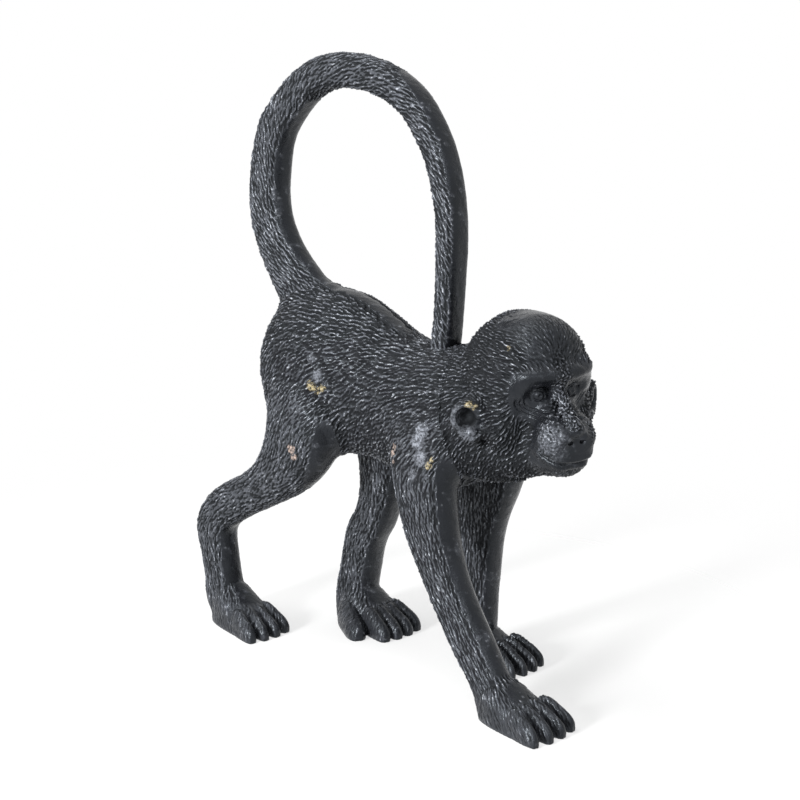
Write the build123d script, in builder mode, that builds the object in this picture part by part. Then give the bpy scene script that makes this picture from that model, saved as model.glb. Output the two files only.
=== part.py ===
from build123d import *
from math import cos, radians, sin
import os

os.makedirs("parts", exist_ok=True)

# Monkey figurine: seven cast resin pieces on steel wire armatures.
# +X is the way the monkey walks, +Y its left side, +Z up.
# The soles stand on Z = 0, and the origin is below the middle of the figure.

# Body
body_length = 128.0
body_middle_x = -13.5
body_width = 52.0
body_depth = 73.0
back_height = 168.0
# Neck and head
neck_width = 47.0
neck_depth = 62.0
neck_reach = 43.0
head_rise = 7.0
head_side = 4.0
head_turn = 18.0
skull_length = 57.0
skull_width = 49.0
skull_height = 58.0
muzzle_reach = 36.5
muzzle_width = 27.0
muzzle_height = 23.0
jaw_width = 25.0
jaw_height = 18.0
brow_width = 33.0
brow_length = 14.0
brow_thickness = 9.0
eye_diameter = 9.0
eye_spacing = 15.5
ear_height = 20.0
ear_width = 15.0
ear_thickness = 6.0
ear_spacing = 58.0
ear_turn = 40.0
ear_rim = 2.6
ear_hollow_depth = 3.0
# Tail
tail_height = 112.0
tail_reach = 118.0
tail_width = 13.5
tail_root_depth = 24.0
tail_tip_depth = 10.2
# Hind legs
thigh_depth = 38.0
thigh_width = 25.0
shank_depth = 19.0
shank_width = 16.0
right_leg_back = 50.0
left_knee_forward = 13.5
right_leg_spread = 22.8
left_leg_spread = 21.2
foot_length = 20.0
foot_width = 21.0
foot_height = 22.0
right_foot_turn = -5.0
left_foot_turn = -3.0
toe_count = 4
toe_length = 13.0
toe_height = 9.0
thumb_length = 24.0
thumb_width = 8.0
thumb_turn = 30.0
# Arms
upper_arm_depth = 36.0
upper_arm_width = 21.0
forearm_depth = 20.0
forearm_width = 14.0
right_arm_forward = 43.0
left_arm_back = 9.0
right_arm_spread = 21.0
left_arm_spread = 25.8
hand_length = 21.0
right_hand_width = 25.0
left_hand_width = 21.0
hand_height = 20.0
right_hand_turn = -2.0
left_hand_turn = 1.0
finger_count = 4
finger_length = 14.0
finger_height = 10.0
digit_splay = 6.0
# Fur: the main furrows of the combed coat
furrow_length = 9.0
furrow_width = 1.3
furrow_pitch = 11.0
nostril_diameter = 2.4
# Steel armature
wire_diameter = 3.0
wire_bend = 6.0
neck_pin_diameter = 6.0
neck_pin_length = 44.0

# Where the neck, the tail and the limbs join the body: along it from its middle, down from the
# back, and sideways, as shares of its length, depth and width.
neck_along_share = 0.37
neck_down_share = 0.51
tail_along_share = -0.35
hip_down_share = 0.49
hip_side_share = 0.24
right_hip_along_share = -0.273
left_hip_along_share = -0.242
shoulder_down_share = 0.49
shoulder_side_share = 0.28
shoulder_along_share = 0.336

neck_start_x = body_middle_x + body_length * neck_along_share
neck_height = back_height - body_depth * neck_down_share
head_forward = neck_start_x + neck_reach
head_height = neck_height + head_rise
tail_root_x = body_middle_x + body_length * tail_along_share
hip_height = back_height - body_depth * hip_down_share
hip_side = body_width * hip_side_share
shoulder_height = back_height - body_depth * shoulder_down_share
shoulder_side = body_width * shoulder_side_share

# Roundness of every limb section: 0.71 is an oval and 1 is a rectangle.
corner_share = 0.80


def rounded_section(plane, width, depth):
    """A closed curve between an oval and a rectangle, as a face."""
    half_width = width / 2
    half_depth = depth / 2
    corner_width = corner_share * half_width
    corner_depth = corner_share * half_depth
    with BuildSketch(plane) as section:
        with BuildLine():
            Spline(
                (0, -half_depth),
                (corner_width, -corner_depth),
                (half_width, 0),
                (corner_width, corner_depth),
                (0, half_depth),
                (-corner_width, corner_depth),
                (-half_width, 0),
                (-corner_width, -corner_depth),
                periodic=True,
            )
        make_face()
    return section.sketch


def station(before, here, after):
    """The plane across a limb's path at one of its points, with its x along the figure's width."""
    run = (Vector(*after) - Vector(*before)).normalized()
    across = Vector(0, 1, 0) - run * run.Y
    return Plane(origin=here, x_dir=across, z_dir=run)


def limb_loft(stations):
    """Loft rounded sections along a path; a station is (point, width, depth)."""
    points = [point for point, width, depth in stations]
    sections = []
    for index, (point, width, depth) in enumerate(stations):
        before = points[max(index - 1, 0)]
        after = points[min(index + 1, len(points) - 1)]
        sections.append(rounded_section(station(before, point, after), width, depth))
    loft(sections)


def armature(points, diameter, bend):
    """A bent steel wire along the given points."""
    with BuildLine() as route:
        FilletPolyline(*points, radius=bend)
    path = route.line
    with BuildSketch(Plane(origin=path @ 0, z_dir=path % 0)) as section:
        Circle(diameter / 2)
    sweep(section.sketch, path=path)


# Torso: oval sections from the rump to the chest.
# One row: place along the body, then top, bottom and width as shares.
torso_shares = (
    (-0.50, 0.36, 0.56, 0.36),
    (-0.485, 0.22, 0.72, 0.60),
    (-0.44, 0.08, 0.88, 0.84),
    (-0.36, -0.01, 0.96, 0.96),
    (-0.25, -0.04, 0.98, 1.00),
    (-0.12, -0.03, 0.98, 0.92),
    (0.00, 0.04, 0.97, 0.86),
    (0.12, 0.14, 1.00, 0.88),
    (0.24, 0.17, 1.04, 0.96),
    (0.36, 0.15, 1.02, 1.00),
    (0.45, 0.15, 0.96, 0.92),
    (0.50, 0.22, 0.88, 0.74),
)

with BuildPart() as torso:
    for place, top, bottom, width in torso_shares:
        x = body_middle_x + body_length * place
        z = back_height - body_depth * (top + bottom) / 2
        with BuildSketch(Plane(origin=(x, 0, z), x_dir=(0, 1, 0), z_dir=(1, 0, 0))):
            Ellipse(body_width * width / 2, body_depth * (bottom - top) / 2)
    loft()

# Head: its own frame, turned towards the figure's right.
turn = radians(head_turn)
head_frame = Plane(
    origin=(head_forward, -head_side, head_height),
    x_dir=(cos(turn), -sin(turn), 0),
    z_dir=(0, 0, 1),
)


def head_station(forward, side, up):
    origin = head_frame.from_local_coords((forward, side, up))
    return Plane(origin=origin, x_dir=head_frame.y_dir, z_dir=head_frame.x_dir)


# Half the ovals of a rounded mass, and the turn from each to the next.
blob_steps = 3
blob_turn = 26.0


def blob(forward, side, up, length, width, height):
    """A rounded mass on the head: ovals along the way it faces."""
    sections = []
    for step in range(-blob_steps, blob_steps + 1):
        angle = radians(blob_turn * step)
        with BuildSketch(head_station(forward + length / 2 * sin(angle), side, up)) as section:
            Ellipse(width / 2 * cos(angle), height / 2 * cos(angle))
        sections.append(section.sketch)
    loft(sections)


# One row: place from the crown to the brow, middle height, width and height as shares.
skull_shares = (
    (-0.60, 0.16, 0.34, 0.34),
    (-0.54, 0.15, 0.64, 0.62),
    (-0.38, 0.19, 0.90, 0.92),
    (-0.12, 0.225, 1.00, 1.03),
    (0.10, 0.24, 0.98, 1.02),
    (0.25, 0.25, 0.86, 0.94),
    (0.345, 0.25, 0.64, 0.76),
    (0.40, 0.24, 0.40, 0.46),
)
brow_forward_share = 0.355
brow_up_share = 0.375
eye_forward_share = 0.36
eye_up_share = 0.22
# One row: place, middle height, width and height as shares of the muzzle's sizes.
muzzle_shares = (
    (0.10, -0.14, 1.30, 1.60),
    (0.40, -0.13, 1.10, 1.34),
    (0.64, -0.15, 1.00, 1.08),
    (0.84, -0.19, 0.94, 0.86),
    (0.95, -0.22, 0.74, 0.62),
    (1.00, -0.23, 0.42, 0.34),
)
jaw_shares = (
    (-0.15, -0.42, 1.70, 1.60),
    (0.25, -0.38, 1.35, 1.45),
    (0.55, -0.37, 1.00, 1.10),
    (0.76, -0.39, 0.80, 0.86),
    (0.90, -0.41, 0.58, 0.60),
    (0.96, -0.42, 0.34, 0.34),
)
# One row: share of the way to the head, share of its turn, width and depth as shares.
neck_shares = (
    (0.00, 0.0, 0.94, 0.87),
    (0.30, 0.2, 1.02, 0.96),
    (0.60, 0.6, 1.00, 0.94),
    (0.90, 1.0, 0.92, 0.84),
)

with BuildPart() as head:
    for place, share, width, depth in neck_shares:
        x = neck_start_x + (head_forward - neck_start_x) * place
        angle = turn * share
        with BuildSketch(
            Plane(
                origin=(x, -head_side * place, neck_height),
                x_dir=(sin(angle), cos(angle), 0),
                z_dir=(cos(angle), -sin(angle), 0),
            )
        ):
            Ellipse(neck_width * width / 2, neck_depth * depth / 2)
    loft()
    for place, up, width, depth in skull_shares:
        with BuildSketch(head_station(skull_length * place, 0, skull_height * up)):
            Ellipse(skull_width * width / 2, skull_height * depth / 2)
    loft()
    for place, up, width, depth in muzzle_shares:
        with BuildSketch(head_station(muzzle_reach * place, 0, muzzle_reach * up)):
            Ellipse(muzzle_width * width / 2, muzzle_height * depth / 2)
    loft()
    for place, up, width, depth in jaw_shares:
        with BuildSketch(head_station(muzzle_reach * place, 0, muzzle_reach * up)):
            Ellipse(jaw_width * width / 2, jaw_height * depth / 2)
    loft()
    blob(
        skull_length * brow_forward_share,
        0,
        skull_height * brow_up_share,
        brow_length,
        brow_width,
        brow_thickness,
    )
    for side in (-1, 1):
        blob(
            skull_length * eye_forward_share,
            side * eye_spacing / 2,
            skull_height * eye_up_share,
            eye_diameter,
            eye_diameter,
            eye_diameter,
        )
        ear_origin = head_frame.from_local_coords((0, side * ear_spacing / 2, 0))
        ear_normal = head_frame.x_dir.rotate(Axis.Z, side * (90 - ear_turn))
        ear_plane = Plane(origin=ear_origin, x_dir=(0, 0, 1), z_dir=ear_normal)
        with BuildSketch(ear_plane.offset(-ear_thickness / 2)):
            Ellipse(ear_height / 2, ear_width / 2)
        extrude(amount=ear_thickness)
        with BuildSketch(ear_plane.offset(ear_thickness / 2)):
            Ellipse(ear_height / 2 - ear_rim, ear_width / 2 - ear_rim)
        extrude(amount=-ear_hollow_depth, mode=Mode.SUBTRACT)
    add(torso.part, mode=Mode.SUBTRACT)

# Tail: a loop that rises from the rump and comes down on the shoulders.
# One row: place along the loop's reach, share of its height, share of the way from root to tip depth.
tail_shares = (
    (0.06, -0.20, -0.40),
    (0.00, -0.06, -0.30),
    (-0.11, 0.06, -0.05),
    (-0.185, 0.17, 0.15),
    (-0.232, 0.30, 0.25),
    (-0.237, 0.42, 0.31),
    (-0.212, 0.58, 0.39),
    (-0.148, 0.72, 0.47),
    (-0.04, 0.838, 0.55),
    (0.08, 0.912, 0.60),
    (0.21, 0.937, 0.63),
    (0.348, 0.926, 0.64),
    (0.485, 0.878, 0.67),
    (0.585, 0.795, 0.70),
    (0.662, 0.675, 0.75),
    (0.712, 0.52, 0.81),
    (0.730, 0.38, 0.86),
    (0.730, 0.24, 0.91),
    (0.721, 0.08, 0.96),
    (0.710, -0.06, 0.98),
    (0.702, -0.20, 0.98),
)
tail_points = []
tail_stations = []
for along, up, thin in tail_shares:
    point = (tail_root_x + tail_reach * along, 0, back_height + tail_height * up)
    depth = tail_root_depth + (tail_tip_depth - tail_root_depth) * thin
    tail_points.append(point)
    tail_stations.append((point, tail_width, depth))

with BuildPart() as tail_wire:
    armature(tail_points, wire_diameter, wire_bend)

with BuildPart() as tail:
    limb_loft(tail_stations)
    add(torso.part, mode=Mode.SUBTRACT)
    add(tail_wire.part, mode=Mode.SUBTRACT)


# Legs and arms. One row: share of the stride, share of the height, share of the way from the
# body's side to the sole's, share of the way from the upper section to the lower one, then the
# width and the depth as shares of that section.
def limb_stations(rows, top_x, top_z, stride, top_side, sole_side, upper, lower):
    stations = []
    for along, up, out, thin, width, depth in rows:
        section_width = upper[0] + (lower[0] - upper[0]) * thin
        section_depth = upper[1] + (lower[1] - upper[1]) * thin
        point = (top_x + stride * along, top_side + (sole_side - top_side) * out, top_z * up)
        stations.append((point, section_width * width, section_depth * depth))
    return stations


# One row: place along the digit, width and height as shares.
digit_shares = (
    (0.00, 0.90, 1.30),
    (0.40, 1.00, 1.25),
    (0.80, 0.90, 0.85),
    (0.95, 0.66, 0.60),
    (1.00, 0.36, 0.35),
)
# One row: place along the back of the paw, width and height as shares.
paw_shares = (
    (-0.34, 0.36, 0.34),
    (-0.24, 0.60, 0.70),
    (0.10, 0.82, 1.00),
    (0.55, 0.95, 0.78),
    (1.00, 1.00, 0.52),
    (1.20, 0.90, 0.38),
)
digit_taper_share = 0.05
digit_root_share = 0.75
digit_gap_share = 0.12
thumb_root_share = 0.33

# What lies below the floor is cut off every sole.
with BuildPart() as below_floor:
    with BuildSketch(Plane.XY):
        Rectangle(body_length + tail_reach, body_length + tail_reach)
    extrude(amount=-back_height)


def floor_sections(origin, heading, length, width, height, rows):
    """Sections across a paw or digit, as far below the floor as above it."""
    sections = []
    across = Vector(-heading.Y, heading.X, 0)
    for along, wide, high in rows:
        plane = Plane(origin=origin + heading * (length * along), x_dir=across, z_dir=heading)
        sections.append(rounded_section(plane, width * wide, 2 * height * high))
    return sections


def standing(sections):
    """Loft the sections and cut the solid flat on the floor."""
    with BuildPart() as blank:
        loft(sections)
        add(below_floor.part, mode=Mode.SUBTRACT)
    return blank.part


def paw(ankle, turn_angle, length, width, height, count, digit_length, digit_height):
    """A foot or hand: a sloping back and a row of digits, standing on the floor."""
    heading = Vector(cos(radians(turn_angle)), sin(radians(turn_angle)), 0)
    across = Vector(-heading.Y, heading.X, 0)
    blanks = [standing(floor_sections(ankle, heading, length, width, height, paw_shares))]
    pitch = width / count
    for index in range(count):
        place = index - (count - 1) / 2
        root = ankle + heading * (length * digit_root_share) + across * (pitch * place)
        reach = digit_length * (1 - digit_taper_share * place * place) + length * (1 - digit_root_share)
        digit_width = pitch * (1 - digit_gap_share)
        splayed = heading.rotate(Axis.Z, digit_splay * place)
        blanks.append(standing(floor_sections(root, splayed, reach, digit_width, digit_height, digit_shares)))
    return blanks


def thumb(ankle, turn_angle, inner):
    """A foot's big toe, on its inner side."""
    heading = Vector(cos(radians(turn_angle)), sin(radians(turn_angle)), 0)
    across = Vector(-heading.Y, heading.X, 0)
    root = ankle + across * (inner * thumb_root_share * foot_width)
    splayed = heading.rotate(Axis.Z, inner * thumb_turn)
    return standing(floor_sections(root, splayed, thumb_length, thumb_width, toe_height, digit_shares))


right_leg_shares = (
    (-0.04, 1.00, 0.00, 0.0, 0.80, 1.02),
    (-0.05, 0.88, 0.42, 0.0, 1.00, 1.00),
    (-0.04, 0.78, 0.68, 0.0, 1.00, 0.93),
    (0.07, 0.70, 0.80, 0.35, 1.00, 0.98),
    (0.28, 0.615, 0.86, 0.75, 1.00, 0.98),
    (0.60, 0.53, 0.94, 1.0, 1.00, 0.98),
    (0.92, 0.455, 1.02, 1.0, 0.96, 0.98),
    (1.08, 0.37, 1.06, 1.0, 0.90, 0.98),
    (1.06, 0.27, 1.05, 1.0, 0.84, 0.88),
    (1.02, 0.17, 1.02, 1.0, 0.84, 0.88),
    (0.97, 0.07, 1.00, 1.0, 0.88, 0.92),
    (0.95, -0.03, 1.00, 1.0, 0.78, 0.78),
)
left_leg_shares = (
    (0.09, 0.98, 0.15, 0.0, 0.80, 1.04),
    (0.66, 0.85, 0.50, 0.0, 0.95, 0.84),
    (1.06, 0.73, 0.74, 0.3, 0.95, 0.80),
    (1.00, 0.62, 0.86, 0.7, 0.95, 0.90),
    (0.74, 0.515, 0.94, 1.0, 0.96, 0.98),
    (0.42, 0.425, 1.00, 1.0, 0.94, 0.92),
    (0.01, 0.35, 1.00, 1.0, 0.94, 0.90),
    (-0.20, 0.27, 1.00, 1.0, 0.92, 0.88),
    (-0.38, 0.18, 1.00, 1.0, 0.90, 0.90),
    (-0.50, 0.08, 1.00, 1.0, 0.92, 0.98),
    (-0.50, -0.03, 1.00, 1.0, 0.84, 0.86),
)
right_arm_shares = (
    (0.00, 1.00, 0.00, 0.0, 0.85, 1.05),
    (0.01, 0.87, 0.50, 0.0, 1.00, 1.00),
    (0.05, 0.74, 0.85, 0.2, 0.98, 0.94),
    (0.13, 0.62, 1.00, 0.5, 0.96, 0.98),
    (0.27, 0.49, 1.00, 0.85, 1.00, 1.04),
    (0.44, 0.38, 1.00, 1.0, 1.00, 1.04),
    (0.62, 0.285, 1.00, 1.0, 0.98, 1.02),
    (0.82, 0.19, 1.00, 1.0, 0.96, 0.98),
    (1.00, 0.10, 1.00, 1.0, 0.98, 0.94),
    (1.08, -0.03, 1.00, 1.0, 0.86, 0.78),
)
left_arm_shares = (
    (0.00, 1.00, 0.05, 0.0, 0.85, 1.05),
    (-0.32, 0.87, 0.35, 0.0, 1.00, 1.06),
    (-0.45, 0.74, 0.60, 0.1, 1.00, 1.04),
    (0.05, 0.61, 0.76, 0.55, 1.00, 1.06),
    (0.38, 0.48, 0.83, 0.95, 1.06, 1.12),
    (0.52, 0.36, 0.89, 1.0, 1.04, 1.04),
    (0.64, 0.24, 0.93, 1.0, 0.98, 0.98),
    (0.74, 0.13, 0.96, 1.0, 0.98, 0.98),
    (0.88, 0.05, 1.00, 1.0, 0.96, 0.92),
    (1.00, -0.03, 1.00, 1.0, 0.90, 0.84),
)
thigh = (thigh_width, thigh_depth)
shank = (shank_width, shank_depth)
upper_arm = (upper_arm_width, upper_arm_depth)
forearm = (forearm_width, forearm_depth)
right_hip_x = body_middle_x + body_length * right_hip_along_share
left_hip_x = body_middle_x + body_length * left_hip_along_share
shoulder_x = body_middle_x + body_length * shoulder_along_share
limbs = {
    "right_leg": limb_stations(
        right_leg_shares, right_hip_x, hip_height, -right_leg_back, -hip_side, -right_leg_spread, thigh, shank
    ),
    "left_leg": limb_stations(
        left_leg_shares, left_hip_x, hip_height, left_knee_forward, hip_side, left_leg_spread, thigh, shank
    ),
    "right_arm": limb_stations(
        right_arm_shares,
        shoulder_x,
        shoulder_height,
        right_arm_forward,
        -shoulder_side,
        -right_arm_spread,
        upper_arm,
        forearm,
    ),
    "left_arm": limb_stations(
        left_arm_shares,
        shoulder_x,
        shoulder_height,
        -left_arm_back,
        shoulder_side,
        left_arm_spread,
        upper_arm,
        forearm,
    ),
}
foot = (foot_length, foot_width, foot_height, toe_count, toe_length, toe_height)
right_hand = (hand_length, right_hand_width, hand_height, finger_count, finger_length, finger_height)
left_hand = (hand_length, left_hand_width, hand_height, finger_count, finger_length, finger_height)
paws = {
    "right_leg": (right_foot_turn, foot),
    "left_leg": (left_foot_turn, foot),
    "right_arm": (right_hand_turn, right_hand),
    "left_arm": (left_hand_turn, left_hand),
}
# The side of the foot that its thumb spreads to; the right foot's thumb is pressed to its side.
thumbs = {"left_leg": -1}
pieces = {"torso": torso, "head": head, "tail": tail, "tail_wire": tail_wire}
for name, stations in limbs.items():
    points = [point for point, width, depth in stations]
    with BuildPart() as wire:
        armature(points[:-1], wire_diameter, wire_bend)
    turn_angle, sizes = paws[name]
    sole = Vector(points[-1][0], points[-1][1], 0)
    paw_blanks = paw(sole, turn_angle, *sizes)
    if name in thumbs:
        paw_blanks.append(thumb(sole, turn_angle, thumbs[name]))
    with BuildPart() as limb:
        limb_loft(stations)
        add(below_floor.part, mode=Mode.SUBTRACT)
        add(paw_blanks)
        add(torso.part, mode=Mode.SUBTRACT)
        add(head.part, mode=Mode.SUBTRACT)
        add(wire.part, mode=Mode.SUBTRACT)
    pieces[name] = limb
    pieces[name + "_wire"] = wire

with BuildPart() as neck_pin:
    with BuildSketch(Plane(origin=(neck_start_x - neck_pin_length / 2, 0, neck_height), z_dir=(1, 0, 0))):
        Circle(neck_pin_diameter / 2)
    extrude(amount=neck_pin_length)
pieces["neck_pin"] = neck_pin

# Furrows of the coat. One row of the body's: how far down the section, then the slope of the fur.
body_furrow_rows = ((0.14, 12.0), (0.30, 20.0), (0.46, 28.0), (0.62, 38.0), (0.78, 48.0))
body_furrow_start_share = -0.42
body_furrow_end_share = 0.34
# One row of the head's: height as a share of the skull's, then the first turn from the face and
# how many furrows follow it round each side.
head_furrow_rows = ((0.28, 74.0, 4), (0.45, 62.0, 5), (0.60, 74.0, 4))
head_furrow_turn = 24.0
head_furrow_slope = 22.0
nostril_forward_share = 0.985
nostril_side_share = 0.085
nostril_up_share = -0.10

with BuildPart() as furrow:
    with BuildSketch(Plane.XY):
        with BuildLine():
            Polyline(
                (-furrow_length / 2, 0),
                (0, furrow_width / 2),
                (furrow_length / 2, 0),
                close=True,
            )
        make_face()
    revolve(axis=Axis.X)


def furrow_at(part, start, towards, slope):
    """A furrow where a line first meets the part, laid along the surface with a slope."""
    hits = part.find_intersection_points(Axis(start, towards))
    point, normal = min(hits, key=lambda hit: (hit[0] - start).length)
    level = Vector(0, 0, 1).cross(normal).normalized()
    run = level.rotate(Axis((0, 0, 0), normal), slope)
    return Plane(origin=point, x_dir=run, z_dir=normal) * furrow.part


def torso_height(along, down):
    """A height on the body's side, from a place along it and a share of the way down there."""
    for before, after in zip(torso_shares, torso_shares[1:]):
        if before[0] <= along <= after[0]:
            part = (along - before[0]) / (after[0] - before[0])
            top = before[1] + (after[1] - before[1]) * part
            bottom = before[2] + (after[2] - before[2]) * part
            return back_height - body_depth * (top + (bottom - top) * down)


body_furrows = []
furrow_step_share = furrow_pitch / body_length
furrow_count = int((body_furrow_end_share - body_furrow_start_share) / furrow_step_share)
for row, (down, slope) in enumerate(body_furrow_rows):
    for index in range(furrow_count):
        along = body_furrow_start_share + furrow_step_share * (index + row % 2 / 2)
        for side in (-1, 1):
            start = Vector(body_middle_x + body_length * along, side * body_width, torso_height(along, down))
            body_furrows.append(furrow_at(torso.part, start, (0, -side, 0), -side * slope))

head_furrows = []
for up, first_turn, count in head_furrow_rows:
    for index in range(count):
        angle = radians(first_turn + head_furrow_turn * index)
        for side in (-1, 1):
            place = Vector(cos(angle), side * sin(angle), 0) * skull_length
            start = head_frame.from_local_coords(place + Vector(0, 0, skull_height * up))
            middle = head_frame.from_local_coords((0, 0, skull_height * up))
            head_furrows.append(furrow_at(head.part, start, middle - start, -side * head_furrow_slope))

with torso:
    add(body_furrows, mode=Mode.SUBTRACT)
    for name in ("tail_wire", "right_leg_wire", "left_leg_wire", "right_arm_wire", "left_arm_wire", "neck_pin"):
        add(pieces[name].part, mode=Mode.SUBTRACT)
with head:
    add(head_furrows, mode=Mode.SUBTRACT)
    for side in (-1, 1):
        place = (nostril_forward_share, side * nostril_side_share, nostril_up_share)
        with Locations(head_frame.from_local_coords(Vector(*place) * muzzle_reach)):
            Sphere(nostril_diameter / 2, mode=Mode.SUBTRACT)
    add(neck_pin.part, mode=Mode.SUBTRACT)

for name, piece in pieces.items():
    piece.part.label = name
    export_step(piece.part, "parts/" + name + ".step")
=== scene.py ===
"""A black cast monkey figurine, sculpted on the solids of the frame.

Lengths are millimetres for the camera, the castings and their surface, and metres for the
paint's textures, the floor and the lamps. Points become metres when a mesh is made.
"""

import itertools
import math
from collections import namedtuple

import bpy
import numpy as np
import openvdb
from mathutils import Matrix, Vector


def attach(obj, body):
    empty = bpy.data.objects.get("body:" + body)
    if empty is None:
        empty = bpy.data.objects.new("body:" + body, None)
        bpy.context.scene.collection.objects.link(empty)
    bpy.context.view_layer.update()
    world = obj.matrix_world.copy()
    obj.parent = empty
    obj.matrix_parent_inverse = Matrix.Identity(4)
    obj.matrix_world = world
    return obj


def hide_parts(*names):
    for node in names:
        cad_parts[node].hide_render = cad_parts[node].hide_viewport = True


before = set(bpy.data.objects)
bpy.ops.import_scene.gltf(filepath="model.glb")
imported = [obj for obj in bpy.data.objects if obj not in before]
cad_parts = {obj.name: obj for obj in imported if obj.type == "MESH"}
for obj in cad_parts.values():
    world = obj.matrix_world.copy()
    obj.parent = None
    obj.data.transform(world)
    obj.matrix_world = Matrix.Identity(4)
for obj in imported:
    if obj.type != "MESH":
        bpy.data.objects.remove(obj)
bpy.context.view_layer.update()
scene = bpy.context.scene
MM = 0.001

# Camera: the photograph's view. The lens is the photograph's focal length over its width.
camera_place = (652.6, -703.0, 401.6)
camera_target = (-3.0, 0.0, 125.93)
sensor_width = 36.0
focal_pixels = 2197.2
photo_pixels = 800


def turn_to(holder, place, target):
    """Turns a camera or a lamp at a place to its target."""
    holder.rotation_mode = "QUATERNION"
    holder.rotation_quaternion = (Vector(target) - Vector(place)).to_track_quat("-Z", "Y")


camera = bpy.data.objects.new("camera", bpy.data.cameras.new("camera"))
scene.collection.objects.link(camera)
camera.data.sensor_width = sensor_width
camera.data.lens = sensor_width * focal_pixels / photo_pixels
camera.location = Vector(camera_place) * MM
turn_to(camera, camera_place, camera_target)
scene.camera = camera

# Grid of the sculpture, and how far from a surface its distances are known.
torso_cell = 0.5
fine_cell = 0.42
band = 6.0

limbs = ("right_arm", "left_arm", "right_leg", "left_leg")
castings = ("torso", "head", "tail", *limbs)
inserts = ("neck_pin", "tail_wire", *(limb + "_wire" for limb in limbs))


def cad_mesh(node):
    """Points and triangles of a CAD node."""
    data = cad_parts[node].data
    data.calc_loop_triangles()
    points = np.empty(len(data.vertices) * 3, np.float32)
    data.vertices.foreach_get("co", points)
    triangles = np.empty(len(data.loop_triangles) * 3, np.int32)
    data.loop_triangles.foreach_get("vertices", triangles)
    return points.reshape(-1, 3) / MM, triangles.reshape(-1, 3).astype(np.uint32)


solids = {node: cad_mesh(node) for node in castings + inserts}


class Window:
    """A box of grid points round one piece."""

    def __init__(self, low, high, cell):
        self.cell = cell
        self.first = np.floor(np.asarray(low) / cell).astype(int)
        self.shape = tuple(np.ceil(np.asarray(high) / cell).astype(int) - self.first + 1)
        self.axes = tuple(
            ((self.first[i] + np.arange(self.shape[i])) * cell).astype(np.float32) for i in range(3)
        )
        self.x = self.axes[0][:, None, None]
        self.z = self.axes[2][None, None, :]

    def overlaps(self, node, margin):
        """Whether a solid's box, wider by a margin, reaches into the window."""
        points = solids[node][0]
        low = points.min(0) - margin
        high = points.max(0) + margin
        return all(low[i] < self.axes[i][-1] and high[i] > self.axes[i][0] for i in range(3))

    def distance(self, node):
        """Distance to a solid's surface, negative inside, cut off at the band."""
        points, triangles = solids[node]
        grid = openvdb.FloatGrid.createLevelSetFromPolygons(
            (points / self.cell).astype(np.float32), triangles=triangles, halfWidth=band / self.cell
        )
        values = np.empty(self.shape, np.float32)
        grid.copyToArray(values, ijk=tuple(int(i) for i in self.first))
        return values * self.cell

    def part(self, low, high):
        """Slices of the grid points inside a smaller box."""
        slices = []
        for i in range(3):
            start = int(np.searchsorted(self.axes[i], low[i]))
            stop = int(np.searchsorted(self.axes[i], high[i]))
            slices.append(slice(start, max(stop, start)))
        return tuple(slices)


def join(a, b, radius):
    """Union of two fields with a rounded inner corner."""
    near = np.maximum(radius - np.abs(a - b), 0) / radius
    return np.minimum(a, b) - near * near * radius / 4


def trim(a, b, radius):
    """Common part of two fields with a rounded outer edge."""
    return -join(-a, -b, radius)


def soften(field, reach):
    """Field blurred twice along each axis, over a number of cells to each side."""
    width = 2 * reach + 1
    for axis in range(3):
        moved = np.moveaxis(field, axis, 0)
        for _ in range(2):
            padded = np.concatenate([moved[:1]] * (reach + 1) + [moved] + [moved[-1:]] * reach)
            total = np.cumsum(padded, axis=0, dtype=np.float64)
            moved = ((total[width:] - total[:-width]) / width).astype(np.float32)
        field = np.moveaxis(moved, 0, axis)
    return np.ascontiguousarray(field)


def ramp(value, start, end):
    """0 at start and before, 1 at end and after, smooth between."""
    share = np.clip((value - start) / (end - start), 0, 1)
    return share * share * (3 - 2 * share)


def bell(value, width):
    """1 at 0, falling off smoothly over the width to both sides."""
    return np.exp(-((value / width) ** 2))


def unit(vectors):
    """Vectors brought to length one."""
    return vectors / (np.linalg.norm(vectors, axis=1, keepdims=True) + 1e-9)


# The head's own frame: forward, to the figure's left, up.
head_place = (76.9, -4.0, 137.8)
head_turn = math.radians(18.0)
forward_axis = np.array([math.cos(head_turn), -math.sin(head_turn), 0.0])
left_axis = np.array([math.sin(head_turn), math.cos(head_turn), 0.0])
up_axis = np.array([0.0, 0.0, 1.0])


def from_head(forward, left, up):
    """Point at head coordinates."""
    return np.array(head_place) + forward * forward_axis + left * left_axis + up * up_axis


def to_head(x, y, z):
    """Head coordinates of points."""
    dx = x - head_place[0]
    dy = y - head_place[1]
    forward = dx * forward_axis[0] + dy * forward_axis[1]
    left = dx * left_axis[0] + dy * left_axis[1]
    return forward, left, z - head_place[2]


# Keeps a division by a length off zero.
tiny = 1e-6


def ellipsoid(forward, left, up, centre, radii):
    """Field of an ellipsoid, in head coordinates."""
    a = (forward - centre[0]) / radii[0]
    b = (left - centre[1]) / radii[1]
    c = (up - centre[2]) / radii[2]
    near = np.sqrt(a * a + b * b + c * c) + tiny
    slope = np.sqrt((a / radii[0]) ** 2 + (b / radii[1]) ** 2 + (c / radii[2]) ** 2) + tiny
    return near * (near - 1) / slope


def rod(forward, left, up, start, end, start_radius, end_radius):
    """Field of a rounded rod with a radius for each end, in head coordinates."""
    run = np.subtract(end, start)
    df, dl, du = forward - start[0], left - start[1], up - start[2]
    share = np.clip((df * run[0] + dl * run[1] + du * run[2]) / (run @ run), 0, 1)
    gap = np.sqrt((df - share * run[0]) ** 2 + (dl - share * run[1]) ** 2 + (du - share * run[2]) ** 2)
    return gap - start_radius - (end_radius - start_radius) * share


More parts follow.
